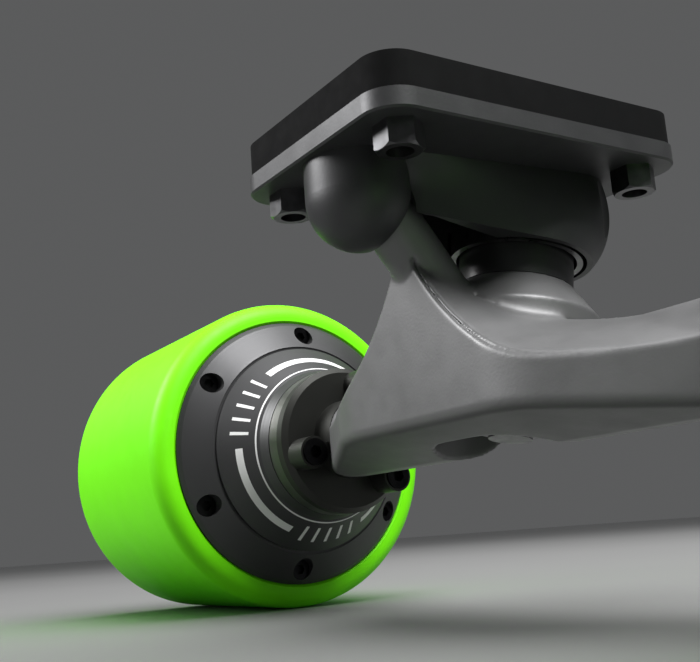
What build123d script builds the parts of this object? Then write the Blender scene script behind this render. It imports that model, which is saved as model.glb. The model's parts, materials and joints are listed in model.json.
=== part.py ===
from build123d import *
import os
from math import cos, radians, sin

# Powered truck of an electric skateboard: base, steering hanger and two hub-motor wheels.
# Millimetres. +X runs along the axle, +Y along the board towards the kingpin end, +Z up to the deck.
# The origin is the centre of the riser pad's top face, which the deck sits on.

# ---------------------------------------------------------------- driving dimensions

# deck mounting
BOLT_SPACING_X = 41.3
BOLT_SPACING_Y = 63.5
BOLT_HOLE_R = 2.75
RISER_WIDTH = 57.0
RISER_LENGTH = 80.2
RISER_THICKNESS = 7.4
PLATE_OVERHANG = 0.45
PLATE_THICKNESS = 4.1
PLATE_CORNER_R = 7.0
PLATE_EDGE_CHAMFER = 0.4
NUT_FLATS = 8.6
NUT_HEIGHT = 5.3
NUT_CROWN_H = 1.2
NUT_RELIEF_R = 7.6
NUT_RELIEF_H = 14.0

# base casting below the plate
PIVOT_BOSS_Y = -28.0
PIVOT_BOSS_R = 11.0
PIVOT_BOSS_WALL_H = 7.5
KEEL_END_Y = 22.4
KEEL_END_R = 14.8
KEEL_BULGE_Y = 3.2
SKIRT_R = 17.0
SKIRT_ROUNDING = 0.8
SKIRT_BAND = 7.0
SKIRT_NOSE_R = 9.0
SKIRT_NOSE_DISTANCE = 30.0
POCKET_HALF_WIDTH = 8.8
POCKET_ROOF_Z = -15.6
POCKET_CORNER_R = 4.0
POCKET_TO_PIVOT = 6.0

# kingpin stack, measured along the kingpin from the rim of the base casting
KINGPIN_Y = 13.6
KINGPIN_RIM_Z = -29.0
KINGPIN_TILT = 10.0
KINGPIN_R = 4.75
KINGPIN_HEAD_R = 8.2
KINGPIN_HEAD_H = 5.0
KINGPIN_SOCKET_FLATS = 8.0
KINGPIN_SOCKET_DEPTH = 3.0
CUP_R = 14.8
CUP_WALL = 1.3
CUP_DEPTH = 7.0
CUP_GAP = 0.9
BUSHING_R = 12.8
BUSHING_STAND = 6.5
RING_THICKNESS = 12.0
RING_R = 18.9
RING_BORE_GAP = 2.85
RING_FLARE_H = 7.5
LOWER_BUSHING_R = 11.8
LOWER_BUSHING_TIP_R = 9.5
LOWER_BUSHING_H = 10.5
LOWER_WASHER_R = 10.8
LOWER_WASHER_H = 1.8
KINGPIN_NUT_FLATS = 17.0
KINGPIN_NUT_H = 8.0
KINGPIN_NUT_COLLAR_H = 2.0
KINGPIN_NUT_COLLAR_INSET = 0.6
KINGPIN_THREAD_OUT = 1.5

# pivot
NOSE_R = 6.25
NOSE_WAIST_CUT = 0.65
NOSE_STEP = 1.5
NOSE_ANGLE = 52.0
PIVOT_Y = -24.9
PIVOT_Z = -17.0
PIVOT_CUP_WALL = 1.9
PIVOT_CUP_MOUTH = 4.0

# hanger, with heights above the axle
AXLE_Y = 9.0
AXLE_Z = -60.5
FACET_Y = -18.5
FACET_HALF_WIDTH = 28.0
FACET_SWEEP_R = 29.0
APEX_HALF_WIDTH = 3.5
FRONT_APEX_H = 29.5
FRONT_MID_X, FRONT_MID_H = 17.4, 12.4
FRONT_KNEE_X, FRONT_KNEE_H = 36.0, 1.2
FRONT_ARM_H = -9.0
BACK_TOP_H = 18.5
BACK_MID_X, BACK_MID_H = 22.6, 13.3
BACK_KNEE_X, BACK_KNEE_H = 44.2, 10.2
BACK_ARM_H = 8.5
WEB_BOTTOM_H = -10.8
ARM_R = 10.6
LOW_EDGE_H = -5.4
UNDERSIDE_END_Y = 3.0
LOW_EDGE_FILLET = 2.4
NECK_LENGTH = 46.0
SCOOP_R = 13.4
SCOOP_SWING = 4.4

# fixed half of the hub motor, distances outwards from the middle of the truck
FLANGE_FACE = 68.4
FLANGE_T = 4.0
FLANGE_R = 19.9
FLANGE_NECK = 7.9
FLANGE_CHAMFER = 1.4
FLANGE_SCREW_CIRCLE_R = 15.2
FLANGE_SCREW_ANGLES = (-165.0, -45.0, 75.0)
FLANGE_SCREW_R = 2.0
FLANGE_SCREW_HEAD_R = 3.5
FLANGE_SCREW_HEAD_H = 4.0
FLANGE_SCREW_GRIP = 3.5
FLANGE_SCREW_SOCKET_FLATS, FLANGE_SCREW_SOCKET_DEPTH = 3.0, 2.2
FLANGE_BOSS_R = 4.2
FLANGE_RIB_T = 3.0
RIGHT_MOTOR_TURN = 30.0
SHAFT_FLANGE_T = 4.1
SHAFT_R = 7.5
SHAFT_SHOULDER = 2.0
SHAFT_TIP_R = 6.0
STATOR_LENGTH = 38.0
STATOR_TEETH = 12
STATOR_BORE_R = 15.0
STATOR_YOKE = 4.5
TOOTH_WIDTH = 4.6
SHOE_T = 2.2
COIL_WIDTH = 8.2
COIL_OVERHANG = 3.0
COIL_BEND_R = 2.4
BOARD_T = 1.6
BOARD_REACH = 12.0
AXLE_NUT_FLATS = 16.0
AXLE_NUT_H = 3.5

# bearings
INNER_BEARING_R, INNER_BEARING_W = 14.0, 7.0
OUTER_BEARING_R, OUTER_BEARING_W = 12.0, 6.0
BEARING_BALLS = 10
BEARING_HOUSING = 3.5

# turning half of the hub motor
HUB_R = 38.4
COVER_NECK_R = 21.0
COVER_NECK_H = 3.0
COVER_KNEE_DEPTH, COVER_KNEE_R = 12.7, 29.3
COVER_DEPTH = 18.0
COVER_CHAMFER = 1.0
COVER_SPIGOT = 5.0
COVER_WALL = 3.4
COVER_GROOVE_W = 0.8
OUTER_COVER_T = 6.0
OUTER_COVER_SETBACK = 3.0
OUTER_BEARING_RECESS = 3.0
ROTOR_WALL = 3.0
MAGNET_COUNT = 16
MAGNET_T = 2.6
MAGNET_GAP_DEGREES = 2.5
AIR_GAP = 0.6
COVER_SCREW_INSET = 4.2
COVER_SCREW_COUNT = 6
COVER_SCREW_FIRST_ANGLE = 26.0
COVER_SCREW_R = 1.5
COVER_SCREW_HEAD_R = 2.9
COVER_SCREW_HEAD_H = 2.4
COVER_SCREW_SUNK = 2.2
COVER_SCREW_REACH = 8.0
COVER_SCREW_SOCKET_FLATS = 2.6
COVER_SCREW_CLEARANCE = 0.1
COVER_LUG_R = 3.6
COVER_LUG_LENGTH = 7.0
TYRE_THICKNESS = 6.6
TYRE_SETBACK = 1.0
TYRE_WIDTH = 70.0
TYRE_SHOULDER_R = 4.6
CAP_R = 13.0
CAP_RIM_R = 11.0
CAP_SEAT_H = 1.6
CAP_SEAT_R = 17.5
CAP_THICKNESS = 1.4

# clearances
FIT = 0.05
FACE_GAP = 0.5

# ---------------------------------------------------------------- sizes that follow

RISER_BOTTOM = -RISER_THICKNESS
PLATE_BOTTOM = RISER_BOTTOM - PLATE_THICKNESS
NUT_R = NUT_FLATS / 2 / cos(radians(30))
BOLT_PLACES = [(sx * BOLT_SPACING_X / 2, sy * BOLT_SPACING_Y / 2) for sx in (-1, 1) for sy in (-1, 1)]
UPWARDS = (Align.CENTER, Align.CENTER, Align.MIN)

tilt = radians(KINGPIN_TILT)
KINGPIN = Plane(origin=(0, KINGPIN_Y, KINGPIN_RIM_Z), x_dir=(1, 0, 0), z_dir=(0, sin(tilt), cos(tilt)))
RING_TOP = -BUSHING_STAND
RING_BOTTOM = RING_TOP - RING_THICKNESS
RING_BORE_R = KINGPIN_R + RING_BORE_GAP
LOWER_WASHER_TOP = RING_BOTTOM - LOWER_BUSHING_H
KINGPIN_NUT_TOP = LOWER_WASHER_TOP - LOWER_WASHER_H
KINGPIN_END = KINGPIN_NUT_TOP - KINGPIN_NUT_H - KINGPIN_THREAD_OUT
CUP_TOP = CUP_DEPTH + CUP_WALL
head_edge_drop = KINGPIN_HEAD_R * sin(tilt)
KINGPIN_HEAD_TOP = (RISER_BOTTOM - KINGPIN_RIM_Z - head_edge_drop) / cos(tilt)
KINGPIN_HEAD_BOTTOM = KINGPIN_HEAD_TOP - KINGPIN_HEAD_H

nose_angle = radians(NOSE_ANGLE)
NOSE = Plane(origin=(0, PIVOT_Y, PIVOT_Z), x_dir=(1, 0, 0), z_dir=(0, cos(nose_angle), -sin(nose_angle)))
PIVOT_CUP_R = NOSE_R + FIT + PIVOT_CUP_WALL
NOSE_WAIST_R = NOSE_R - NOSE_WAIST_CUT

WEB_BACK_Y = AXLE_Y - 1.0
ARM_FRONT_Y = AXLE_Y - ARM_R
ARM_END = FLANGE_FACE - FLANGE_NECK
FLANGE_SCREW_SEAT = ARM_END + FLANGE_SCREW_HEAD_H + 0.5

SHAFT_START = FLANGE_FACE + FLANGE_T
COVER_START = SHAFT_START + SHAFT_FLANGE_T + FACE_GAP
COVER_KNEE = COVER_START + COVER_KNEE_DEPTH
COVER_EDGE = COVER_START + COVER_DEPTH
COVER_RIM_END = COVER_EDGE + COVER_SPIGOT
TYRE_R = HUB_R + TYRE_THICKNESS
TYRE_INBOARD = COVER_EDGE + TYRE_SETBACK
TYRE_OUTBOARD = TYRE_INBOARD + TYRE_WIDTH
OUTER_COVER_FACE = TYRE_OUTBOARD - OUTER_COVER_SETBACK
ROTOR_END = OUTER_COVER_FACE - OUTER_COVER_T
ROTOR_INNER_R = HUB_R - ROTOR_WALL
MAGNET_INNER_R = ROTOR_INNER_R - MAGNET_T
STATOR_R = MAGNET_INNER_R - AIR_GAP
STATOR_FROM = (COVER_RIM_END + ROTOR_END - STATOR_LENGTH) / 2
STATOR_TO = STATOR_FROM + STATOR_LENGTH
COVER_SCREW_CIRCLE_R = HUB_R - COVER_SCREW_INSET
COVER_BORE_R = COVER_SCREW_CIRCLE_R - COVER_LUG_R + 0.4
COUNTERBORE_R = COVER_SCREW_HEAD_R + COVER_SCREW_CLEARANCE
COVER_HOLE_R = COVER_SCREW_R + COVER_SCREW_CLEARANCE
INNER_BEARING_FROM = COVER_START + COVER_NECK_H + 1.5
OUTER_BEARING_FROM = OUTER_COVER_FACE - OUTER_BEARING_W - OUTER_BEARING_RECESS
OUTER_BEARING_TO = OUTER_BEARING_FROM + OUTER_BEARING_W
SHAFT_TIP = OUTER_BEARING_TO + AXLE_NUT_H + 0.3
CUT = 1.0  # how far a cutting tool runs past the face that it cuts

os.makedirs("parts", exist_ok=True)


# ---------------------------------------------------------------- shape helpers

def post(radius, z_from, z_to, place=Location()):
    """A cylinder along local Z."""
    return place * Pos(0, 0, z_from) * Cylinder(radius, z_to - z_from, align=UPWARDS)


def cone(r_from, r_to, z_from, z_to):
    return Pos(0, 0, z_from) * Cone(r_from, r_to, z_to - z_from, align=UPWARDS)


def hex_prism(flats, z_from, z_to):
    return Pos(0, 0, z_from) * extrude(RegularPolygon(flats / 2, 6, major_radius=False), z_to - z_from)


def pear(near_y, near_r, far_y, far_r):
    """Outline of two circles on the Y axis and their common tangents."""
    return make_hull((Pos(0, near_y) * Circle(near_r) + Pos(0, far_y) * Circle(far_r)).edges())


def turned(*points):
    """Solid of revolution about X from (distance outwards, radius) points."""
    return revolve(make_face(Polyline(*points, close=True)), Axis.X)


def rod(radius, x_from, x_to, y=0.0, z=0.0):
    """A cylinder along X."""
    return Location((x_from, y, z), (0, 90, 0)) * Cylinder(radius, x_to - x_from, align=UPWARDS)


def tube(outer_r, inner_r, x_from, x_to):
    return rod(outer_r, x_from, x_to) - rod(inner_r, x_from - 1, x_to + 1)


def hex_bar(flats, x_from, length, y=0.0):
    """A hexagonal prism along X."""
    outline = RegularPolygon(flats / 2, 6, major_radius=False)
    return Location((x_from, y, 0), (0, 90, 0)) * extrude(outline, length)


def around_axle(shape, count, first_angle=0.0):
    """Copies of a shape turned about X, with angles measured from +Y towards +Z."""
    return [Rot(first_angle + i * 360 / count, 0, 0) * shape for i in range(count)]


def group(shapes):
    return Compound([solid for shape in shapes for solid in shape.solids()])


# ---------------------------------------------------------------- deck mounting and base

def make_riser():
    pad = Pos(0, 0, RISER_BOTTOM) * extrude(
        RectangleRounded(RISER_WIDTH, RISER_LENGTH, PLATE_CORNER_R), RISER_THICKNESS)
    for x, y in BOLT_PLACES:
        pad -= post(BOLT_HOLE_R, RISER_BOTTOM - 1, 1, Pos(x, y))
    return pad


def make_keel():
    """The body between plate and skirt, from the pivot boss to the kingpin end."""
    top = Pos(0, 0, PLATE_BOTTOM + 0.5) * pear(PIVOT_BOSS_Y, PIVOT_BOSS_R, KEEL_END_Y, KEEL_END_R)
    waist = KINGPIN * Pos(0, 0, SKIRT_BAND) * pear(
        -SKIRT_NOSE_DISTANCE, SKIRT_NOSE_R + SKIRT_ROUNDING, KEEL_BULGE_Y, SKIRT_R + SKIRT_ROUNDING)
    rim = KINGPIN * pear(-SKIRT_NOSE_DISTANCE, SKIRT_NOSE_R, 0, SKIRT_R)
    return loft([top, waist, rim])


def make_dome():
    """The round boss over the pivot, a short wall that ends in a half ball."""
    boss = Sphere(PIVOT_BOSS_R) + post(PIVOT_BOSS_R, 0, PIVOT_BOSS_WALL_H)
    return Pos(0, PIVOT_BOSS_Y, PLATE_BOTTOM - PIVOT_BOSS_WALL_H) * boss


def make_plate():
    outline = RectangleRounded(RISER_WIDTH + 2 * PLATE_OVERHANG, RISER_LENGTH + 2 * PLATE_OVERHANG,
                               PLATE_CORNER_R + PLATE_OVERHANG)
    plate = Pos(0, 0, PLATE_BOTTOM) * extrude(outline, PLATE_THICKNESS)
    return chamfer(plate.faces().sort_by(Axis.Z)[0].edges(), PLATE_EDGE_CHAMFER)


def make_pocket():
    """The hollow inside the skirt, from the pivot to the kingpin."""
    length = KINGPIN_Y - PIVOT_Y - POCKET_TO_PIVOT
    depth = POCKET_ROOF_Z - KINGPIN_RIM_Z + SKIRT_R * sin(tilt) + SKIRT_BAND
    outline = RectangleRounded(2 * POCKET_HALF_WIDTH, length, POCKET_CORNER_R)
    return Pos(0, KINGPIN_Y - length / 2, POCKET_ROOF_Z) * extrude(outline, -depth)


def make_base():
    casting = make_keel() + make_dome()
    for x, y in BOLT_PLACES:
        casting -= post(NUT_RELIEF_R, PLATE_BOTTOM - NUT_RELIEF_H, PLATE_BOTTOM, Pos(x, y))
    base = make_plate() + casting
    for x, y in BOLT_PLACES:
        base -= post(BOLT_HOLE_R, PLATE_BOTTOM - CUT, RISER_BOTTOM + CUT, Pos(x, y))
    base -= make_pocket()
    base -= KINGPIN * post(CUP_R + CUP_GAP, -SKIRT_R, CUP_TOP)
    base -= KINGPIN * post(KINGPIN_R + FIT, 0, KINGPIN_HEAD_BOTTOM + CUT)
    base -= KINGPIN * post(KINGPIN_HEAD_R + FACE_GAP, KINGPIN_HEAD_BOTTOM, KINGPIN_HEAD_TOP + SKIRT_R)
    return base - NOSE * (Sphere(PIVOT_CUP_R) + post(PIVOT_CUP_R, 0, PIVOT_BOSS_R * 3))


def make_pivot_cup():
    outer = (Sphere(PIVOT_CUP_R) & post(PIVOT_CUP_R, -PIVOT_CUP_R, PIVOT_CUP_MOUTH)) + post(
        PIVOT_CUP_R, 0, PIVOT_CUP_MOUTH)
    inner_r = NOSE_R + FIT
    return NOSE * (outer - Sphere(inner_r) - post(inner_r, 0, PIVOT_CUP_MOUTH + CUT))


def make_mounting_nuts():
    bottom = PLATE_BOTTOM - NUT_HEIGHT
    envelope_r = NUT_R * 1.15
    crown = cone(NUT_FLATS / 2, envelope_r, bottom, bottom + NUT_CROWN_H)
    blank = hex_prism(NUT_FLATS, bottom, PLATE_BOTTOM)
    blank &= crown + post(envelope_r, bottom + NUT_CROWN_H, PLATE_BOTTOM)
    blank -= post(BOLT_HOLE_R, bottom - CUT, PLATE_BOTTOM + CUT)
    return group(Pos(x, y) * blank for x, y in BOLT_PLACES)


# ---------------------------------------------------------------- kingpin stack

def drilled(shape, radius, z_from, z_to):
    return shape - post(radius, z_from - CUT, z_to + CUT)


def make_kingpin():
    head = post(KINGPIN_HEAD_R, KINGPIN_HEAD_BOTTOM, KINGPIN_HEAD_TOP)
    socket = hex_prism(KINGPIN_SOCKET_FLATS, KINGPIN_HEAD_TOP - KINGPIN_SOCKET_DEPTH, KINGPIN_HEAD_TOP + CUT)
    return KINGPIN * (post(KINGPIN_R, KINGPIN_END, KINGPIN_HEAD_BOTTOM) + head - socket)


def make_boardside_washer():
    cup = post(CUP_R, 0, CUP_TOP) - post(CUP_R - CUP_WALL, -CUT, CUP_DEPTH)
    return KINGPIN * drilled(cup, KINGPIN_R + FIT, 0, CUP_TOP)


def make_boardside_bushing():
    return KINGPIN * drilled(post(BUSHING_R, RING_TOP, CUP_DEPTH), KINGPIN_R + FIT, RING_TOP, CUP_DEPTH)


def make_roadside_bushing():
    body = cone(LOWER_BUSHING_TIP_R, LOWER_BUSHING_R, LOWER_WASHER_TOP, RING_BOTTOM)
    return KINGPIN * drilled(body, KINGPIN_R + FIT, LOWER_WASHER_TOP, RING_BOTTOM)


def make_roadside_washer():
    disc = post(LOWER_WASHER_R, KINGPIN_NUT_TOP, LOWER_WASHER_TOP)
    return KINGPIN * drilled(disc, KINGPIN_R + FIT, KINGPIN_NUT_TOP, LOWER_WASHER_TOP)


def make_kingpin_nut():
    bottom = KINGPIN_NUT_TOP - KINGPIN_NUT_H
    hex_from = bottom + KINGPIN_NUT_COLLAR_H
    nut = hex_prism(KINGPIN_NUT_FLATS, hex_from, KINGPIN_NUT_TOP)
    nut += post(KINGPIN_NUT_FLATS / 2 - KINGPIN_NUT_COLLAR_INSET, bottom, hex_from)
    return KINGPIN * drilled(nut, KINGPIN_R, bottom, KINGPIN_NUT_TOP)


# ---------------------------------------------------------------- hanger

def web_outline(top_h, mid_x, mid_h, knee_x, knee_h, arm_h):
    """Front view of the web at one depth: flat top, hollow flanks, sloping arms, straight bottom."""
    top_z, mid_z, knee_z, arm_z, bottom_z = (AXLE_Z + h for h in (top_h, mid_h, knee_h, arm_h, WEB_BOTTOM_H))
    top, knee, tip = (APEX_HALF_WIDTH, top_z), (knee_x, knee_z), (ARM_END, arm_z)
    edges = [Line((-APEX_HALF_WIDTH, top_z), top), Line((ARM_END, bottom_z), (-ARM_END, bottom_z))]
    for side in (1, -1):
        flip = [(side * x, z) for x, z in (top, (mid_x, mid_z), knee, tip, (ARM_END, bottom_z))]
        edges += [ThreePointArc(*flip[:3]), Line(*flip[2:4]), Line(*flip[3:])]
    return make_face(edges)


def at_depth(outline, y):
    return Plane(origin=(0, y, 0), x_dir=(1, 0, 0), z_dir=(0, -1, 0)) * outline


def make_web_plan():
    """Top view of the web: flat facet in front, swept back to the arms."""
    half = [(FACET_HALF_WIDTH, FACET_Y), (ARM_END, ARM_FRONT_Y), (ARM_END, WEB_BACK_Y)]
    plan = make_face(Polyline(*half, *[(-x, y) for x, y in reversed(half)], close=True))
    return fillet(plan.vertices().filter_by(lambda v: abs(v.Y - FACET_Y) < FIT), FACET_SWEEP_R)


def make_web():
    front = web_outline(FRONT_APEX_H, FRONT_MID_X, FRONT_MID_H, FRONT_KNEE_X, FRONT_KNEE_H, FRONT_ARM_H)
    back = web_outline(BACK_TOP_H, BACK_MID_X, BACK_MID_H, BACK_KNEE_X, BACK_KNEE_H, BACK_ARM_H)
    web = loft([at_depth(front, FACET_Y), at_depth(back, WEB_BACK_Y)], ruled=True)
    bottom_z = AXLE_Z + WEB_BOTTOM_H
    web &= Pos(0, 0, bottom_z - CUT) * extrude(make_web_plan(), FRONT_APEX_H - WEB_BOTTOM_H + 2 * CUT)
    web -= make_underside_cut()
    low_edges = web.edges().filter_by(
        lambda e: abs(e.center().Z - underside_z(e.center().Y)) < FIT and e.center().Y < ARM_FRONT_Y + FACE_GAP
        and abs(e.center().X) < ARM_END - FACE_GAP)
    return fillet(low_edges, LOW_EDGE_FILLET)


def underside_z(y):
    """Height of the sloping underside, which rises from the bottom of the web to the facet."""
    share = (UNDERSIDE_END_Y - y) / (UNDERSIDE_END_Y - FACET_Y)
    return AXLE_Z + WEB_BOTTOM_H + share * (LOW_EDGE_H - WEB_BOTTOM_H)


def make_underside_cut():
    front_y, back_y = FACET_Y - CUT, UNDERSIDE_END_Y + CUT
    low_z = underside_z(back_y) - CUT
    corners = [(front_y, underside_z(front_y)), (back_y, underside_z(back_y)), (back_y, low_z), (front_y, low_z)]
    return Pos(-ARM_END - CUT, 0, 0) * extrude(Plane.YZ * make_face(Polyline(*corners, close=True)),
                                               2 * ARM_END + 2 * CUT)


def make_nose():
    """The ball end in the pivot cup and the neck that joins it to the web."""
    waist_end = PIVOT_CUP_MOUTH + NOSE_STEP
    flare_end = waist_end + NOSE_STEP
    nose = Sphere(NOSE_R) + post(NOSE_WAIST_R, 0, waist_end) + cone(NOSE_WAIST_R, NOSE_R, waist_end, flare_end)
    return NOSE * (nose + post(NOSE_R, flare_end, NECK_LENGTH))


def make_ring():
    flare_from = RING_TOP - RING_FLARE_H
    return KINGPIN * (cone(RING_R, BUSHING_R, flare_from, RING_TOP) + post(RING_R, RING_BOTTOM, flare_from))


def make_scoop():
    """Room for the nut and the socket that turns it, wider along the axle for the steering."""
    outline = SlotCenterToCenter(2 * SCOOP_SWING, 2 * SCOOP_R)
    return KINGPIN * Pos(0, 0, RING_BOTTOM) * extrude(outline, KINGPIN_END - RING_BOTTOM - SCOOP_R)


def make_hanger():
    arms = rod(ARM_R, -ARM_END, ARM_END, AXLE_Y, AXLE_Z)
    hanger = make_web() + arms + make_ring() + make_nose() - make_scoop()
    hanger -= KINGPIN * post(RING_BORE_R, RING_BOTTOM - CUT, RING_TOP + CUT)
    return hanger - KINGPIN * post(CUP_R + 2 * CUP_GAP, RING_TOP, RING_TOP + 3 * CUP_R)


# ---------------------------------------------------------------- fixed half of the hub motor

def flange_screw_places(shape):
    return [Rot(angle, 0, 0) * shape for angle in FLANGE_SCREW_ANGLES]


def make_motor_flange():
    back = SHAFT_START
    flange = turned((FLANGE_FACE, 0), (FLANGE_FACE, FLANGE_R - FLANGE_CHAMFER),
                    (FLANGE_FACE + FLANGE_CHAMFER, FLANGE_R), (back, FLANGE_R), (back, 0))
    flange += rod(ARM_R, ARM_END, FLANGE_FACE)
    boss = rod(FLANGE_BOSS_R, ARM_END + CUT, FLANGE_FACE, FLANGE_SCREW_CIRCLE_R)
    rib = Pos(ARM_END + CUT, 0, 0) * Box(FLANGE_FACE - ARM_END - CUT, FLANGE_SCREW_CIRCLE_R, FLANGE_RIB_T,
                                         align=(Align.MIN, Align.MIN, Align.CENTER))
    for piece in flange_screw_places(boss + rib):
        flange += piece
    hole = rod(FLANGE_SCREW_R + FIT, ARM_END, back + CUT, FLANGE_SCREW_CIRCLE_R)
    counterbore = rod(FLANGE_SCREW_HEAD_R + FIT, ARM_END, FLANGE_SCREW_SEAT, FLANGE_SCREW_CIRCLE_R)
    for piece in flange_screw_places(hole + counterbore):
        flange -= piece
    return flange


def make_flange_screws():
    seat = FLANGE_SCREW_SEAT
    head = rod(FLANGE_SCREW_HEAD_R, seat - FLANGE_SCREW_HEAD_H, seat, FLANGE_SCREW_CIRCLE_R)
    shank = rod(FLANGE_SCREW_R, seat, SHAFT_START + FLANGE_SCREW_GRIP, FLANGE_SCREW_CIRCLE_R)
    socket = hex_bar(FLANGE_SCREW_SOCKET_FLATS, seat - FLANGE_SCREW_HEAD_H - CUT,
                     CUT + FLANGE_SCREW_SOCKET_DEPTH, FLANGE_SCREW_CIRCLE_R)
    return group(flange_screw_places(head + shank - socket))


def make_motor_shaft():
    start, end = SHAFT_START, SHAFT_START + SHAFT_FLANGE_T
    shoulder_r = SHAFT_R + SHAFT_SHOULDER
    shaft = turned((start, 0), (start, FLANGE_R), (end, FLANGE_R), (end, shoulder_r),
                   (INNER_BEARING_FROM, shoulder_r), (INNER_BEARING_FROM, SHAFT_R),
                   (OUTER_BEARING_FROM, SHAFT_R), (OUTER_BEARING_FROM, SHAFT_TIP_R),
                   (SHAFT_TIP, SHAFT_TIP_R), (SHAFT_TIP, 0))
    for hole in flange_screw_places(
            rod(FLANGE_SCREW_R, start - CUT, start + FLANGE_SCREW_GRIP, FLANGE_SCREW_CIRCLE_R)):
        shaft -= hole
    return shaft


def make_stator_bracket():
    return tube(STATOR_BORE_R, SHAFT_R, STATOR_FROM - 2 * COIL_OVERHANG, STATOR_TO)


def make_stator_core():
    yoke_r = STATOR_BORE_R + STATOR_YOKE
    core = rod(yoke_r, STATOR_FROM, STATOR_TO)
    tooth = Pos(STATOR_FROM, yoke_r - 1, 0) * Box(
        STATOR_LENGTH, STATOR_R - yoke_r, TOOTH_WIDTH, align=(Align.MIN, Align.MIN, Align.CENTER))
    for piece in around_axle(tooth, STATOR_TEETH):
        core += piece
    shoe_arc = 360 / STATOR_TEETH - 5
    shoe = Location((STATOR_FROM, 0, 0), (0, 90, 0)) * extrude(
        Rot(0, 0, -shoe_arc / 2) * sector(STATOR_R - SHOE_T, STATOR_R, shoe_arc), STATOR_LENGTH)
    for piece in around_axle(shoe, STATOR_TEETH, -90):
        core += piece
    return core - rod(STATOR_BORE_R, STATOR_FROM - CUT, STATOR_TO + CUT)


def sector(inner_r, outer_r, angle):
    """A flat ring segment from the X axis through the given angle."""
    outer_arc = CenterArc((0, 0), outer_r, 0, angle)
    inner_arc = CenterArc((0, 0), inner_r, 0, angle)
    ends = [Line(outer_arc @ i, inner_arc @ i) for i in (0, 1)]
    return make_face([outer_arc, inner_arc, *ends])


def make_windings():
    inner, outer = STATOR_BORE_R + STATOR_YOKE + 0.3, STATOR_R - SHOE_T - 0.3
    length = STATOR_LENGTH + 2 * COIL_OVERHANG
    middle = Pos(STATOR_FROM + STATOR_LENGTH / 2, (inner + outer) / 2, 0)
    coil = middle * Box(length, outer - inner, COIL_WIDTH)
    coil = fillet(coil.edges().filter_by(Axis.Y), COIL_BEND_R)
    coil -= middle * Box(STATOR_LENGTH, outer - inner + CUT, TOOTH_WIDTH)
    return group(around_axle(coil, STATOR_TEETH))


def make_sensor_board():
    start = STATOR_FROM - 2 * COIL_OVERHANG + FACE_GAP
    board = tube(STATOR_BORE_R + BOARD_REACH, STATOR_BORE_R, start, start + BOARD_T)
    board -= Pos(start, 0, STATOR_BORE_R + BOARD_REACH) * Box(4 * BOARD_T, 100, 2 * BOARD_REACH + 4)
    return board + tube(STATOR_BORE_R + 3, STATOR_BORE_R, start, start + BOARD_T)


def make_axle_nut():
    return hex_bar(AXLE_NUT_FLATS, OUTER_BEARING_TO, AXLE_NUT_H) - rod(
        SHAFT_TIP_R, OUTER_BEARING_TO - CUT, SHAFT_TIP + CUT)


def bearing_parts(start, width, outer_r, bore_r):
    """Inner race, outer race and balls of a deep-groove bearing."""
    pitch = (outer_r + bore_r) / 2
    ball_r = (outer_r - bore_r) * 0.24
    shoulder = ball_r * 0.62
    middle = start + width / 2
    groove = Location((middle, 0, 0), (0, 90, 0)) * Torus(pitch, ball_r + FIT)
    inner = tube(pitch - shoulder, bore_r, start, start + width) - groove
    outer = tube(outer_r, pitch + shoulder, start, start + width) - groove
    balls = around_axle(Pos(middle, pitch, 0) * Sphere(ball_r), BEARING_BALLS)
    return inner, outer, balls


# ---------------------------------------------------------------- turning half of the hub motor

def cover_screw_places(shape):
    return around_axle(shape, COVER_SCREW_COUNT, COVER_SCREW_FIRST_ANGLE)


def make_inner_cover():
    neck_end, rim = COVER_START + COVER_NECK_H, COVER_RIM_END
    cover = turned((COVER_START, 0), (COVER_START, FLANGE_R), (neck_end, COVER_NECK_R),
                   (COVER_KNEE, COVER_KNEE_R), (COVER_EDGE, HUB_R - COVER_CHAMFER),
                   (COVER_EDGE + COVER_CHAMFER, HUB_R), (rim, HUB_R), (rim, 0))
    floor = INNER_BEARING_FROM + INNER_BEARING_W - 1.0
    cover -= turned((floor, 0), (floor, INNER_BEARING_R + BEARING_HOUSING),
                    (COVER_KNEE + COVER_WALL, COVER_KNEE_R - COVER_WALL / 2),
                    (COVER_EDGE + 2.5, COVER_BORE_R), (rim + CUT, COVER_BORE_R), (rim + CUT, 0))
    cover += rod(INNER_BEARING_R + BEARING_HOUSING, neck_end, INNER_BEARING_FROM + INNER_BEARING_W)
    cover -= rod(SHAFT_R + SHAFT_SHOULDER + FACE_GAP, COVER_START - CUT, INNER_BEARING_FROM)
    cover -= rod(INNER_BEARING_R, INNER_BEARING_FROM, INNER_BEARING_FROM + INNER_BEARING_W + CUT)
    cover -= tube(COVER_KNEE_R + COVER_GROOVE_W, COVER_KNEE_R, COVER_KNEE - CUT, COVER_KNEE + COVER_GROOVE_W)
    counterbore = rod(COUNTERBORE_R, COVER_EDGE - 2 * COVER_NECK_H, COVER_EDGE + COVER_SCREW_SUNK,
                      COVER_SCREW_CIRCLE_R)
    hole = rod(COVER_HOLE_R, COVER_EDGE, rim + CUT, COVER_SCREW_CIRCLE_R)
    for piece in cover_screw_places(counterbore + hole):
        cover -= piece
    return cover


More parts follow.
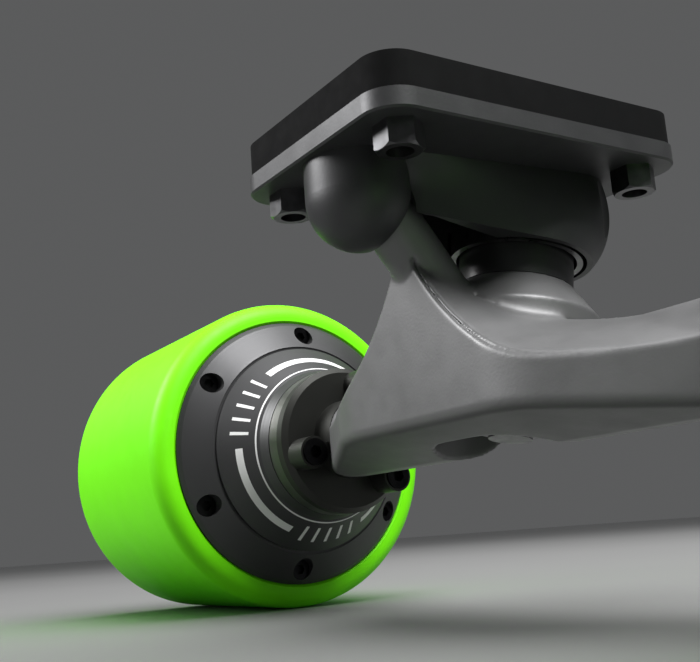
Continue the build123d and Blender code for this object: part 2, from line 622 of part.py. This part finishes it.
def make_cover_screws(face, inward):
    """Cap screws of one cover; inward is the direction in which they are driven."""
    seat = face + inward * COVER_SCREW_SUNK
    low, high = sorted((seat, seat - inward * COVER_SCREW_HEAD_H))
    screw = rod(COVER_SCREW_HEAD_R, low, high, COVER_SCREW_CIRCLE_R)
    shank_from, shank_to = sorted((seat, seat + inward * COVER_SCREW_REACH))
    screw += rod(COVER_SCREW_R, shank_from, shank_to, COVER_SCREW_CIRCLE_R)
    socket_depth = COVER_SCREW_HEAD_H / 2
    socket_from = low - CUT if inward > 0 else high - socket_depth
    screw -= hex_bar(COVER_SCREW_SOCKET_FLATS, socket_from, socket_depth + CUT, COVER_SCREW_CIRCLE_R)
    return group(cover_screw_places(screw))


def make_rotor_can():
    low, high = COVER_RIM_END, ROTOR_END
    can = tube(HUB_R, ROTOR_INNER_R, low, high)
    lug = rod(COVER_LUG_R, low, high, COVER_SCREW_CIRCLE_R) & rod(HUB_R, low, high)
    lug -= rod(HUB_R, low + COVER_LUG_LENGTH, high - COVER_LUG_LENGTH)
    for piece in cover_screw_places(lug):
        can += piece
    for hole in cover_screw_places(rod(COVER_SCREW_R, low - CUT, high + CUT, COVER_SCREW_CIRCLE_R)):
        can -= hole
    return can


def make_magnets():
    arc = 360 / MAGNET_COUNT - MAGNET_GAP_DEGREES
    magnet = Location((STATOR_FROM + CUT, 0, 0), (0, 90, 0)) * extrude(
        sector(MAGNET_INNER_R, ROTOR_INNER_R, arc), STATOR_LENGTH - 2 * CUT)
    return group(around_axle(magnet, MAGNET_COUNT))


def make_outer_cover():
    face, seat = OUTER_COVER_FACE, OUTER_COVER_FACE + CAP_SEAT_H
    cover = turned((ROTOR_END, 0), (ROTOR_END, HUB_R), (face - COVER_CHAMFER, HUB_R),
                   (face, HUB_R - COVER_CHAMFER), (face, CAP_SEAT_R + CAP_SEAT_H),
                   (seat, CAP_SEAT_R), (seat, 0))
    cover += rod(OUTER_BEARING_R + BEARING_HOUSING, OUTER_BEARING_FROM - 1.0, ROTOR_END)
    cover -= rod(OUTER_BEARING_R, OUTER_BEARING_FROM, OUTER_BEARING_TO)
    cover -= rod(OUTER_BEARING_R - 2.5, OUTER_BEARING_FROM - 2.0, OUTER_BEARING_FROM)
    cover -= rod(CAP_RIM_R, OUTER_BEARING_TO, seat + CUT)
    counterbore = rod(COUNTERBORE_R, face - COVER_SCREW_SUNK, face + CUT, COVER_SCREW_CIRCLE_R)
    hole = rod(COVER_HOLE_R, ROTOR_END - CUT, face, COVER_SCREW_CIRCLE_R)
    for piece in cover_screw_places(counterbore + hole):
        cover -= piece
    return cover


def make_hub_cap():
    face = OUTER_COVER_FACE + CAP_SEAT_H
    cap = turned((face, 0), (face, CAP_R), (face + CAP_THICKNESS - 0.4, CAP_R - 0.6),
                 (face + CAP_THICKNESS, CAP_R - 3.0), (face + CAP_THICKNESS, 0))
    return cap + tube(CAP_RIM_R, CAP_RIM_R - 1.0, OUTER_COVER_FACE - 0.6, face)


def make_tyre():
    low, high, r = TYRE_INBOARD, TYRE_OUTBOARD, TYRE_SHOULDER_R
    section = make_face(Polyline((low, HUB_R), (low, TYRE_R), (high, TYRE_R), (high, HUB_R), close=True))
    section = fillet(section.vertices().filter_by(lambda v: v.Y > HUB_R + 1), r)
    section = chamfer(section.vertices().filter_by(lambda v: v.Y < HUB_R + 0.01), 0.8)
    return revolve(section, Axis.X)


# ---------------------------------------------------------------- assembly

def wheel_side(shape, side):
    """Puts a part made for the right-hand end of the axle in place, mirrored for the left-hand one.

    The same motor fits both ends, so the right-hand one sits turned about the axle.
    """
    if side > 0:
        return Pos(0, AXLE_Y, AXLE_Z) * Rot(RIGHT_MOTOR_TURN, 0, 0) * shape
    return mirror(Pos(0, AXLE_Y, AXLE_Z) * shape, Plane.YZ)


def side_parts():
    inner_in, inner_out, inner_balls = bearing_parts(
        INNER_BEARING_FROM, INNER_BEARING_W, INNER_BEARING_R, SHAFT_R)
    outer_in, outer_out, outer_balls = bearing_parts(
        OUTER_BEARING_FROM, OUTER_BEARING_W, OUTER_BEARING_R, SHAFT_TIP_R)
    return {
        "motor_flange": make_motor_flange(),
        "flange_screws": make_flange_screws(),
        "motor_shaft": make_motor_shaft(),
        "stator_bracket": make_stator_bracket(),
        "stator_core": make_stator_core(),
        "windings": make_windings(),
        "sensor_board": make_sensor_board(),
        "axle_nut": make_axle_nut(),
        "bearing_inner_races": group([inner_in, outer_in]),
        "bearing_outer_races": group([inner_out, outer_out]),
        "bearing_balls": group(inner_balls + outer_balls),
        "inner_cover": make_inner_cover(),
        "inner_cover_screws": make_cover_screws(COVER_EDGE, 1),
        "rotor_can": make_rotor_can(),
        "magnets": make_magnets(),
        "outer_cover": make_outer_cover(),
        "outer_cover_screws": make_cover_screws(OUTER_COVER_FACE, -1),
        "hub_cap": make_hub_cap(),
        "tyre": make_tyre(),
    }


centre_parts = {
    "riser_pad": make_riser(),
    "base_plate": make_base(),
    "pivot_cup": make_pivot_cup(),
    "mounting_nuts": make_mounting_nuts(),
    "kingpin": make_kingpin(),
    "kingpin_nut": make_kingpin_nut(),
    "boardside_washer": make_boardside_washer(),
    "boardside_bushing": make_boardside_bushing(),
    "roadside_bushing": make_roadside_bushing(),
    "roadside_washer": make_roadside_washer(),
    "hanger": make_hanger(),
}

for name, shape in centre_parts.items():
    export_step(shape, f"parts/{name}.step")
for name, shape in side_parts().items():
    for side_name, side in (("left", -1), ("right", 1)):
        export_step(wheel_side(shape, side), f"parts/{side_name}_{name}.step")
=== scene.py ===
import json
from math import cos, exp, radians, sin

import bmesh
import bpy
import numpy as np
from mathutils import Matrix, Vector
from mathutils.kdtree import KDTree


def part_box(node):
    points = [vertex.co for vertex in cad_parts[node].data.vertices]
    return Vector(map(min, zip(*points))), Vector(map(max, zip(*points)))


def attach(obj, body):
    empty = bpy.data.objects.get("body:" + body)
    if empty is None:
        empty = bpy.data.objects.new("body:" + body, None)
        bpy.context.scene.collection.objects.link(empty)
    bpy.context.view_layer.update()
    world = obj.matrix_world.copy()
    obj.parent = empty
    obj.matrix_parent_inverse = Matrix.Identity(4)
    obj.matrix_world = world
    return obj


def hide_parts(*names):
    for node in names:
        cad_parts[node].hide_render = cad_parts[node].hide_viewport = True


# Looks, staging and cast shapes for the powered skateboard truck, in metres, in the CAD's own frame.

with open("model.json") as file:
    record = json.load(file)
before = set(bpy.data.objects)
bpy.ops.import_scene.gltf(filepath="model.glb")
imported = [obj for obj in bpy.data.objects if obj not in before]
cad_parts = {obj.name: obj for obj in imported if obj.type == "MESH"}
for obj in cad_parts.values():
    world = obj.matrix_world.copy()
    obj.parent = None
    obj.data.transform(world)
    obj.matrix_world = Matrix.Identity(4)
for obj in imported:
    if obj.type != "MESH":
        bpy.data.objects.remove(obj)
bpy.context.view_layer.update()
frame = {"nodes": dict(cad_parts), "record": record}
nodes = frame["nodes"]
SIDES = {"left": -1, "right": 1}


def centre(node):
    low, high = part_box(node)
    return (Vector(low) + Vector(high)) / 2


# ---------------------------------------------------------------- places read from the frame

floor_z = min(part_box(f"{side}_tyre")[0][2] for side in SIDES)
AXLE_Y, AXLE_Z = centre("right_tyre")[1:]


# ---------------------------------------------------------------- material helpers

class Finish:
    """A Principled material with the texture steps that the surfaces here share."""

    def __init__(self, name, **sockets):
        self.material = bpy.data.materials.new(name)
        self.material.use_nodes = True
        self.tree = self.material.node_tree
        self.shader = self.tree.nodes["Principled BSDF"]
        self.place = self.add("ShaderNodeTexCoord").outputs["Object"]
        self.normal = None
        for socket, value in sockets.items():
            self.shader.inputs[socket.replace("_", " ")].default_value = value

    def add(self, kind, **settings):
        node = self.tree.nodes.new(kind)
        for key, value in settings.items():
            setattr(node, key, value)
        return node

    def link(self, source, target):
        self.tree.links.new(source, target)

    def noise(self, size, detail=3.0, stretch=(1, 1, 1)):
        """Noise whose features are about size metres across, stretched along the axes."""
        mapping = self.add("ShaderNodeMapping")
        mapping.inputs["Scale"].default_value = [1 / (size * s) for s in stretch]
        self.link(self.place, mapping.inputs["Vector"])
        noise = self.add("ShaderNodeTexNoise")
        noise.inputs["Scale"].default_value = 1.0
        noise.inputs["Detail"].default_value = detail
        self.link(mapping.outputs[0], noise.inputs["Vector"])
        return noise.outputs["Fac"]

    def ramp(self, value, low, high, start=0.3, end=0.7):
        """Colours or greys from low to high as value goes from start to end."""
        ramp = self.add("ShaderNodeValToRGB")
        for stop, position, colour in zip(ramp.color_ramp.elements, (start, end), (low, high)):
            stop.position = position
            stop.color = (*colour, 1) if isinstance(colour, tuple) else (colour, colour, colour, 1)
        self.link(value, ramp.inputs["Fac"])
        return ramp.outputs["Color"]

    def mix(self, amount, first, second):
        mix = self.add("ShaderNodeMix", data_type="RGBA")
        self.link(amount, mix.inputs["Factor"])
        self.link(first, mix.inputs["A"])
        self.link(second, mix.inputs["B"])
        return mix.outputs["Result"]

    def colour(self, source):
        self.link(source, self.shader.inputs["Base Color"])
        return self

    def rough(self, source):
        self.link(source, self.shader.inputs["Roughness"])
        return self

    def bump(self, height, distance, strength=1.0):
        node = self.add("ShaderNodeBump")
        node.inputs["Distance"].default_value = distance
        node.inputs["Strength"].default_value = strength
        self.link(height, node.inputs["Height"])
        if self.normal is not None:
            self.link(self.normal, node.inputs["Normal"])
        self.normal = node.outputs["Normal"]
        self.link(self.normal, self.shader.inputs["Normal"])
        return self

    def rings(self, pitch):
        """Fine turned grooves about the axle, one every pitch metres of radius."""
        split = self.add("ShaderNodeSeparateXYZ")
        self.link(self.place, split.inputs[0])
        flat = self.add("ShaderNodeCombineXYZ")
        for axis, shift in (("Y", AXLE_Y), ("Z", AXLE_Z)):
            offset = self.add("ShaderNodeMath", operation="SUBTRACT")
            self.link(split.outputs[axis], offset.inputs[0])
            offset.inputs[1].default_value = shift
            self.link(offset.outputs[0], flat.inputs[axis])
        length = self.add("ShaderNodeVectorMath", operation="LENGTH")
        self.link(flat.outputs[0], length.inputs[0])
        scaled = self.add("ShaderNodeMath", operation="DIVIDE")
        self.link(length.outputs["Value"], scaled.inputs[0])
        scaled.inputs[1].default_value = pitch
        line = self.add("ShaderNodeTexNoise", noise_dimensions="1D")
        line.inputs["Scale"].default_value = 1.0
        line.inputs["Detail"].default_value = 2.0
        self.link(scaled.outputs[0], line.inputs["W"])
        return line.outputs["Fac"]


def powder_coat(name, dark, light, rough_low, rough_high, **sockets):
    """Satin powder coat on cast metal: fine orange peel over soft casting waves."""
    coat = Finish(name, **sockets)
    coat.colour(coat.ramp(coat.noise(0.018), dark, light))
    coat.rough(coat.ramp(coat.noise(0.006, 5), rough_low, rough_high))
    coat.bump(coat.noise(0.012, 2), 0.0002, 0.5)
    return coat.bump(coat.noise(0.0006, 2), 0.00003, 0.6)


def plated(name, dark, light, rough_low, rough_high, **sockets):
    """Plated or blackened steel, a little uneven, with fine scratches."""
    steel = Finish(name, Metallic=1.0, **sockets)
    steel.colour(steel.ramp(steel.noise(0.004, 4), dark, light))
    steel.rough(steel.ramp(steel.noise(0.002, 5), rough_low, rough_high))
    return steel.bump(steel.noise(0.0015, 4, (1, 1, 0.1)), 0.00003, 0.4)


def turned_metal(name, dark, light, rough_low, rough_high, pitch, depth, **sockets):
    metal = Finish(name, **sockets)
    rings = metal.rings(pitch)
    metal.colour(metal.ramp(metal.noise(0.02), dark, light))
    metal.rough(metal.ramp(rings, rough_low, rough_high))
    return metal.bump(rings, depth, 0.6)


def moulded(name, dark, light, rough_low, rough_high, grain, depth, **sockets):
    """Moulded rubber or plastic with an even grain."""
    skin = Finish(name, **sockets)
    skin.colour(skin.ramp(skin.noise(0.01, 4), dark, light))
    skin.rough(skin.ramp(skin.noise(0.004, 4), rough_low, rough_high))
    return skin.bump(skin.noise(grain, 3), depth, 0.7)


# ---------------------------------------------------------------- materials

finishes = {
    "riser": moulded("riser_rubber", (0.003, 0.003, 0.0033), (0.004, 0.004, 0.0044), 0.80, 0.88,
                     0.0004, 0.00002, Specular_IOR_Level=0.08),
    "casting": powder_coat("casting_coat", (0.045, 0.045, 0.047), (0.055, 0.055, 0.058), 0.42, 0.50,
                           Metallic=0.5),
    "hanger": powder_coat("hanger_coat", (0.145, 0.145, 0.147), (0.16, 0.16, 0.163), 0.42, 0.50,
                          Metallic=0.45),
    "cup_polymer": moulded("cup_polymer", (0.02, 0.02, 0.02), (0.03, 0.03, 0.03), 0.4, 0.5, 0.001, 0.00002),
    "fastener": plated("fastener_plating", (0.07, 0.07, 0.072), (0.13, 0.13, 0.135), 0.28, 0.42),
    "washer_steel": plated("washer_plating", (0.12, 0.12, 0.122), (0.18, 0.18, 0.184), 0.26, 0.4),
    "bushing": moulded("bushing_urethane", (0.012, 0.012, 0.013), (0.02, 0.02, 0.021), 0.3, 0.4,
                       0.0012, 0.00002),
    "flange": turned_metal("flange_anodised", (0.030, 0.031, 0.028), (0.040, 0.041, 0.037), 0.34, 0.44,
                           0.00025, 0.000012, Metallic=0.6),
    "black_screw": plated("screw_black_oxide", (0.012, 0.012, 0.013), (0.022, 0.022, 0.023), 0.3, 0.42),
    "shaft": turned_metal("shaft_turned", (0.20, 0.20, 0.19), (0.27, 0.27, 0.255), 0.3, 0.42,
                          0.0003, 0.000015, Metallic=1.0),
    "lamination": plated("lamination_steel", (0.14, 0.14, 0.15), (0.2, 0.2, 0.21), 0.4, 0.55),
    "copper": plated("enamelled_copper", (0.42, 0.16, 0.06), (0.6, 0.26, 0.11), 0.22, 0.34),
    "board": moulded("circuit_board", (0.01, 0.07, 0.03), (0.015, 0.1, 0.04), 0.3, 0.42, 0.002, 0.00002),
    "bearing": plated("bearing_steel", (0.5, 0.5, 0.52), (0.6, 0.6, 0.62), 0.08, 0.18),
    "cover": turned_metal("cover_anodised", (0.055, 0.055, 0.057), (0.065, 0.065, 0.067), 0.40, 0.50,
                          0.0002, 0.000012, Metallic=0.6),
    "rotor": plated("rotor_steel", (0.2, 0.2, 0.21), (0.27, 0.27, 0.28), 0.3, 0.44),
    "magnet": plated("magnet_nickel", (0.48, 0.47, 0.45), (0.58, 0.57, 0.55), 0.14, 0.26),
    "cap": turned_metal("cap_turned", (0.09, 0.09, 0.094), (0.12, 0.12, 0.125), 0.28, 0.38,
                        0.0003, 0.000015, Metallic=1.0),
    "tyre": moulded("tyre_urethane", (0.17, 0.84, 0.0), (0.18, 0.88, 0.001), 0.48, 0.55, 0.0009, 0.000012,
                     Specular_IOR_Level=0.25),
}

for part in frame["record"]["subparts"]:
    mesh = nodes[part["node"]].data
    mesh.materials.clear()
    mesh.materials.append(finishes[part["material_slot"]].material)


# ---------------------------------------------------------------- castings

def add_piece(name, mesh, finish, body):
    piece = bpy.data.objects.new(name, mesh)
    bpy.context.collection.objects.link(piece)
    mesh.materials.clear()
    mesh.materials.append(finish.material)
    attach(piece, body)
    return piece


def remeshed(node, voxel):
    """The solid of a CAD node as one even mesh."""
    copy = bpy.data.objects.new("remesh", nodes[node].data.copy())
    bpy.context.collection.objects.link(copy)
    remesh = copy.modifiers.new("remesh", "REMESH")
    remesh.mode = "VOXEL"
    remesh.voxel_size = voxel
    graph = bpy.context.evaluated_depsgraph_get()
    mesh = bpy.data.meshes.new_from_object(copy.evaluated_get(graph))
    bpy.data.objects.remove(copy)
    return mesh


class Surface:
    """Vertices, edges and quads of a mesh as arrays, for smoothing."""

    def __init__(self, mesh):
        self.mesh = mesh
        self.points = self.read(mesh.vertices, "co", 3, np.float32).astype(float)
        self.edges = self.read(mesh.edges, "vertices", 2, np.int32)
        self.quads = self.read(mesh.polygons, "vertices", 4, np.int32)
        self.degree = np.bincount(self.edges.ravel(), minlength=len(self.points))[:, None]

    @staticmethod
    def read(items, name, width, kind):
        values = np.empty(len(items) * width, kind)
        items.foreach_get(name, values)
        return values.reshape(-1, width)

    def gather(self, index, values):
        """Sums the rows of values into the vertices that index names."""
        return np.stack([np.bincount(index, values[:, axis], len(self.points)) for axis in range(3)], 1)

    def pull(self):
        """How far each vertex is from the middle of its neighbours."""
        first, second = self.edges.T
        total = self.gather(first, self.points[second]) + self.gather(second, self.points[first])
        return total / self.degree - self.points

    def normals(self):
        a, b, c, d = (self.points[self.quads[:, i]] for i in range(4))
        face = np.cross(c - a, d - b)
        total = sum(self.gather(self.quads[:, i], face) for i in range(4))
        return total / np.maximum(np.linalg.norm(total, axis=1, keepdims=True), 1e-12)

    def fill_corners(self, rounds, allowed):
        """Fillets the inner corners: only vertices whose neighbours lie outside them move."""
        for _ in range(rounds):
            pull = self.pull()
            hollow = (np.sum(pull * self.normals(), axis=1) > 0) & allowed
            self.points[hollow] += SMOOTH_STEP * pull[hollow]

    def ease(self, rounds):
        """Rounds every edge a little."""
        for _ in range(rounds):
            self.points += SMOOTH_STEP * self.pull()

    def write(self):
        self.mesh.vertices.foreach_set("co", self.points.astype(np.float32).ravel())
        self.mesh.polygons.foreach_set("use_smooth", np.ones(len(self.quads), bool))
        self.mesh.update()


SMOOTH_STEP = 0.5
HANGER_VOXEL = 0.0005
HANGER_FILL_ROUNDS = 50
HANGER_EASE_ROUNDS = 1
CRISP_DEPTH = 0.003
SCOOP_HALF_WIDTH = 0.0185
RING_BOTTOM_ABOVE_BUSHING = 0.006
CREASE_DEPTH, CREASE_WIDTH = 0.0013, 0.00055
CREASE_END_X = 0.05
FACET_NORMAL_Y, FLANK_NORMAL_Z, CREASE_TURN = -0.8, 0.2, 0.3
WELD_DISTANCE = 1e-6


def kingpin_place(points):
    """How far points are from the kingpin's axis, and how far along it towards the deck."""
    washer, nut = centre("boardside_washer"), centre("kingpin_nut")
    axis = np.array((washer - nut).normalized())
    offset = points - np.array(nut)
    along = offset @ axis
    return np.linalg.norm(offset - np.outer(along, axis), axis=1), along


def crease_points(spacing):
    """Points along the upper edges of the front facet, where its face meets the sloping flanks."""
    shape = bmesh.new()
    shape.from_mesh(nodes["hanger"].data)
    bmesh.ops.remove_doubles(shape, verts=shape.verts, dist=WELD_DISTANCE)
    shape.normal_update()
    points = []
    for edge in shape.edges:
        if len(edge.link_faces) != 2:
            continue
        facet, flank = sorted((face.normal for face in edge.link_faces), key=lambda normal: normal.y)
        start, end = (vert.co for vert in edge.verts)
        sharp = flank.y > facet.y + CREASE_TURN
        if facet.y < FACET_NORMAL_Y and flank.z > FLANK_NORMAL_Z and sharp and start.z > AXLE_Z:
            count = max(2, int((end - start).length / spacing))
            points += [start.lerp(end, i / count) for i in range(count + 1)]
    shape.free()
    return np.array(points)


def cut_creases(surface):
    """Presses the groove of the facet's upper edge into the casting, fading out towards the arms."""
    line = crease_points(HANGER_VOXEL)
    reach = 3 * CREASE_WIDTH
    low, high = line.min(0) - reach, line.max(0) + reach
    near = np.all((surface.points > low) & (surface.points < high), axis=1)
    tree = KDTree(len(line))
    for i, point in enumerate(line):
        tree.insert(point, i)
    tree.balance()
    normals = surface.normals()
    for vertex in np.flatnonzero(near):
        place, _, distance = tree.find(surface.points[vertex])
        if distance < reach:
            fade = min(1.0, max(0.0, 1 - abs(place.x) / CREASE_END_X))
            depth = CREASE_DEPTH * fade * exp(-(distance / CREASE_WIDTH) ** 2)
            surface.points[vertex] -= depth * normals[vertex]


def make_hanger():
    """The hanger with the fillets of a casting, except inside the scoop and along the front facet."""
    mesh = remeshed("hanger", HANGER_VOXEL)
    surface = Surface(mesh)
    distance, along = kingpin_place(surface.points)
    _, bushing_along = kingpin_place(np.array([centre("roadside_bushing")]))
    in_scoop = (distance < SCOOP_HALF_WIDTH) & (along < bushing_along[0] + RING_BOTTOM_ABOVE_BUSHING)
    facet_y = surface.points[surface.points[:, 2] < AXLE_Z, 1].min()
    surface.fill_corners(HANGER_FILL_ROUNDS, ~in_scoop & (surface.points[:, 1] > facet_y + CRISP_DEPTH))
    surface.ease(HANGER_EASE_ROUNDS)
    cut_creases(surface)
    surface.write()
    hanger = add_piece("hanger_casting", mesh, finishes["hanger"], "hanger")
    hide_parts("hanger")


make_hanger()


# ---------------------------------------------------------------- printed marks on the inner covers, and a painted highlight ring at each cover's neck

COVER_NECK_H, COVER_NECK_R = 0.003, 0.021
COVER_KNEE_DEPTH, COVER_KNEE_R = 0.0127, 0.0293
INK_HEIGHT = 0.00006
ARC_R, ARC_WIDTH, ARC_LENGTH = 0.0250, 0.0014, 65.0
ARC_CENTRES = (93.5, 213.5, 333.5)
TICK_COUNT, TICK_PITCH, TICK_LENGTH, TICK_WIDTH = 5, 9.0, 0.0036, 2.0
# The thin light ring just outside the neck radius is a painted highlight, standing in for the shine on the
# neck's edge.
NECK_HIGHLIGHT_R, NECK_HIGHLIGHT_WIDTH = 0.0216, 0.0003


COVER_STARTS = {side: min(abs(corner[0]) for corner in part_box(f"{side}_inner_cover")) for side in SIDES}


def cone_point(side, radius, angle, height):
    """A point height above the cone of an inner cover, at an angle from +Y towards +Z."""
    slope = (COVER_KNEE_DEPTH - COVER_NECK_H) / (COVER_KNEE_R - COVER_NECK_R)
    outward = COVER_STARTS[side] + COVER_NECK_H + (radius - COVER_NECK_R) * slope
    tilt = (1 + slope * slope) ** 0.5
    outward -= height / tilt
    radius += height * slope / tilt
    turn = radians(angle)
    return Vector((SIDES[side] * outward, AXLE_Y + radius * cos(turn), AXLE_Z + radius * sin(turn)))


def ink_strip(shape, side, inner_r, outer_r, angle_from, angle_to):
    """A closed thin strip of ink between two radii and two angles."""
    steps = max(2, int((angle_to - angle_from) / 1.5))
    rows = []
    for step in range(steps + 1):
        angle = angle_from + (angle_to - angle_from) * step / steps
        corners = [(inner_r, -INK_HEIGHT), (inner_r, INK_HEIGHT),
                   (outer_r, INK_HEIGHT), (outer_r, -INK_HEIGHT)]
        rows.append([shape.verts.new(cone_point(side, r, angle, h)) for r, h in corners])
    for row, following in zip(rows, rows[1:]):
        for i in range(4):
            shape.faces.new((row[i], row[(i + 1) % 4], following[(i + 1) % 4], following[i]))
    if angle_to - angle_from < 360:
        shape.faces.new(rows[0])
        shape.faces.new(rows[-1][::-1])


# Prints the arcs and ticks, and paints a light ring at the neck as a painted highlight of the neck's edge.
def make_print_and_highlight(side):
    shape = bmesh.new()
    for middle in ARC_CENTRES:
        half = ARC_LENGTH / 2
        ink_strip(shape, side, ARC_R - ARC_WIDTH / 2, ARC_R + ARC_WIDTH / 2, middle - half, middle + half)
        for i in range(TICK_COUNT):
            tick = middle + 60 + (i - (TICK_COUNT - 1) / 2) * TICK_PITCH
            ink_strip(shape, side, ARC_R - TICK_LENGTH / 2, ARC_R + TICK_LENGTH / 2,
                      tick - TICK_WIDTH / 2, tick + TICK_WIDTH / 2)
    # Painted highlight: a thin white ring just outside the cover neck, in the same ink as the print.
    ink_strip(shape, side, NECK_HIGHLIGHT_R, NECK_HIGHLIGHT_R + NECK_HIGHLIGHT_WIDTH, 0, 360)
    bmesh.ops.remove_doubles(shape, verts=shape.verts, dist=1e-7)
    bmesh.ops.recalc_face_normals(shape, faces=shape.faces)
    mesh = bpy.data.meshes.new(f"{side}_cover_print_and_highlight")
    shape.to_mesh(mesh)
    shape.free()
    add_piece(f"{side}_cover_print_and_highlight", mesh, ink_and_highlight, f"{side}_wheel")


# One white ink serves the printed marks and the painted highlight ring.
ink_and_highlight = moulded("printed_ink_and_painted_highlight", (0.72, 0.72, 0.72), (0.80, 0.80, 0.80), 0.4, 0.5, 0.0004, 0.00001)
for side_name in SIDES:
    make_print_and_highlight(side_name)


# ---------------------------------------------------------------- stage, lights and camera

FLOOR_SIZE, FLOOR_GAP = 12, 0.0002
LIGHT_AIM = (-0.04, 0.0, -0.05)
WORLD_COLOUR, WORLD_STRENGTH = (0.80, 0.81, 0.82, 1), 0.13


def make_floor():
    bpy.ops.mesh.primitive_plane_add(size=FLOOR_SIZE, location=(0, 0, floor_z - FLOOR_GAP))
    floor = bpy.context.object
    floor.name = "floor"
    pale = Finish("floor_pale")
    pale.colour(pale.ramp(pale.noise(0.4), (0.74, 0.74, 0.735), (0.78, 0.78, 0.775)))
    pale.rough(pale.ramp(pale.noise(0.05), 0.75, 0.85))
    floor.data.materials.append(pale.material)
    return floor


def area_light(name, place, size, watts):
    data = bpy.data.lights.new(name, "AREA")
    data.size = size
    data.energy = watts
    light = bpy.data.objects.new(name, data)
    light.location = place
    light.rotation_euler = (Vector(LIGHT_AIM) - Vector(place)).to_track_quat("-Z", "Y").to_euler()
    bpy.context.collection.objects.link(light)
    return light


def spare_floor(light, floor):
    """Keeps a light off the floor, so that the floor throws less of it back up."""
    spared = bpy.data.collections.new(f"{light.name}_spares")
    spared.objects.link(floor)
    spared.collection_objects[0].light_linking.link_state = "EXCLUDE"
    light.light_linking.receiver_collection = spared


def make_lights(floor):
    spare_floor(area_light("key", (-0.42, -0.55, 0.40), 0.35, 8), floor)
    spare_floor(area_light("flank", (0.35, 0.05, 0.60), 0.35, 10), floor)
    area_light("fill", (0.1, 0.2, 0.9), 1.2, 7)
    world = bpy.data.worlds.new("studio")
    world.use_nodes = True
    background = world.node_tree.nodes["Background"]
    background.inputs["Color"].default_value = WORLD_COLOUR
    background.inputs["Strength"].default_value = WORLD_STRENGTH
    bpy.context.scene.world = world
    bpy.context.scene.view_settings.view_transform = "Standard"


CAMERA_PLACE = (0.16407, -0.13939, -0.08718)
CAMERA_AZIMUTH, CAMERA_ELEVATION, CAMERA_ROLL = 56.887, -11.628, -4.087
CAMERA_LENS, CAMERA_SENSOR, CAMERA_CLIP = 51.9, 36.0, 0.005


def make_camera():
    azimuth, elevation = radians(CAMERA_AZIMUTH), radians(CAMERA_ELEVATION)
    back = Vector((sin(azimuth) * cos(elevation), -cos(azimuth) * cos(elevation), sin(elevation)))
    data = bpy.data.cameras.new("camera")
    data.lens = CAMERA_LENS
    data.sensor_width = CAMERA_SENSOR
    data.clip_start = CAMERA_CLIP
    camera = bpy.data.objects.new("camera", data)
    aim = (-back).to_track_quat("-Z", "Y").to_matrix().to_4x4()
    roll = Matrix.Rotation(radians(CAMERA_ROLL), 4, "Z")
    camera.matrix_world = Matrix.Translation(CAMERA_PLACE) @ aim @ roll
    bpy.context.collection.objects.link(camera)
    bpy.context.scene.camera = camera


make_lights(make_floor())
make_camera()
